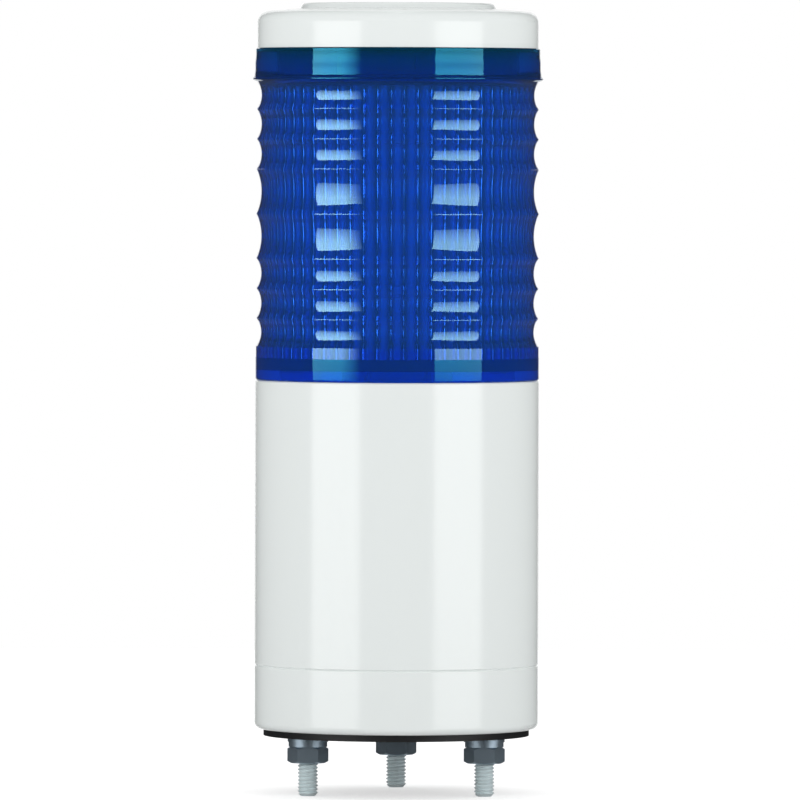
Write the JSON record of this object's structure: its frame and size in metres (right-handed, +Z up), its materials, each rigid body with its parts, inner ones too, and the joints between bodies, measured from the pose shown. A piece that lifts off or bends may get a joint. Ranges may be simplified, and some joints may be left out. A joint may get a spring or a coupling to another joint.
{
  "type": "stack light",
  "caption": "Single-tier stack light: white tube and cap, ribbed blue lens, threaded studs under the base for direct mounting.",
  "frame": {"origin": "centre of the cable inlet at the gasket's underside, the plane where the panel lies", "axes": "+Z up along the light's axis, towards the cap; one stud lies on +Y"},
  "size_m": [0.0574, 0.0572, 0.1558],
  "materials": {
    "white_plastic": "smooth moulded, low gloss",
    "blue_lens": "clear tinted moulding",
    "black_rubber": "matt",
    "zinc_plate": "bright zinc plate",
    "screw_steel": "plated",
    "inner_plastic": "smooth moulded",
    "circuit_board": "solder mask",
    "black_plastic": "fine grain",
    "terminal_plastic": "moulded",
    "capacitor_sleeve": "shrink sleeve",
    "led_package": "moulded with a phosphor window"
  },
  "bodies": {
    "base": {"base_housing": "white_plastic", "base_gasket": "black_rubber", "cable_grommet": "black_rubber", "mounting_studs": "zinc_plate", "flat_washers": "zinc_plate", "spring_washers": "zinc_plate", "hex_nuts": "zinc_plate", "body_seal": "black_rubber"},
    "body": {"body_tube": "white_plastic", "lens_seal": "black_rubber", "chassis": "inner_plastic", "chassis_screws": "screw_steel", "power_board": "circuit_board", "board_screws": "screw_steel", "terminal_block": "terminal_plastic", "terminal_screws": "screw_steel", "smoothing_capacitor": "capacitor_sleeve", "fuse": "black_plastic", "bridge_rectifier": "black_plastic", "driver_chip": "black_plastic", "board_header": "black_plastic", "led_base_board": "circuit_board", "led_column": "inner_plastic", "column_screw": "screw_steel", "led_boards": "circuit_board", "leds": "led_package"},
    "lens": {"lens": "blue_lens", "cap_seal": "black_rubber"},
    "cap": {"top_cap": "white_plastic"}
  },
  "joints": [
    {"name": "body_twist", "type": "hinge", "parent": "base", "child": "body", "pos_m": [0, 0, 0.0139], "axis": [0, 0, 1], "range_deg": [0, 20]},
    {"name": "lens_twist", "type": "hinge", "parent": "body", "child": "lens", "pos_m": [0, 0, 0.07], "axis": [0, 0, 1], "range_deg": [0, 20]},
    {"name": "cap_twist", "type": "hinge", "parent": "lens", "child": "cap", "pos_m": [0, 0, 0.1354], "axis": [0, 0, 1], "range_deg": [0, 20]}
  ]
}
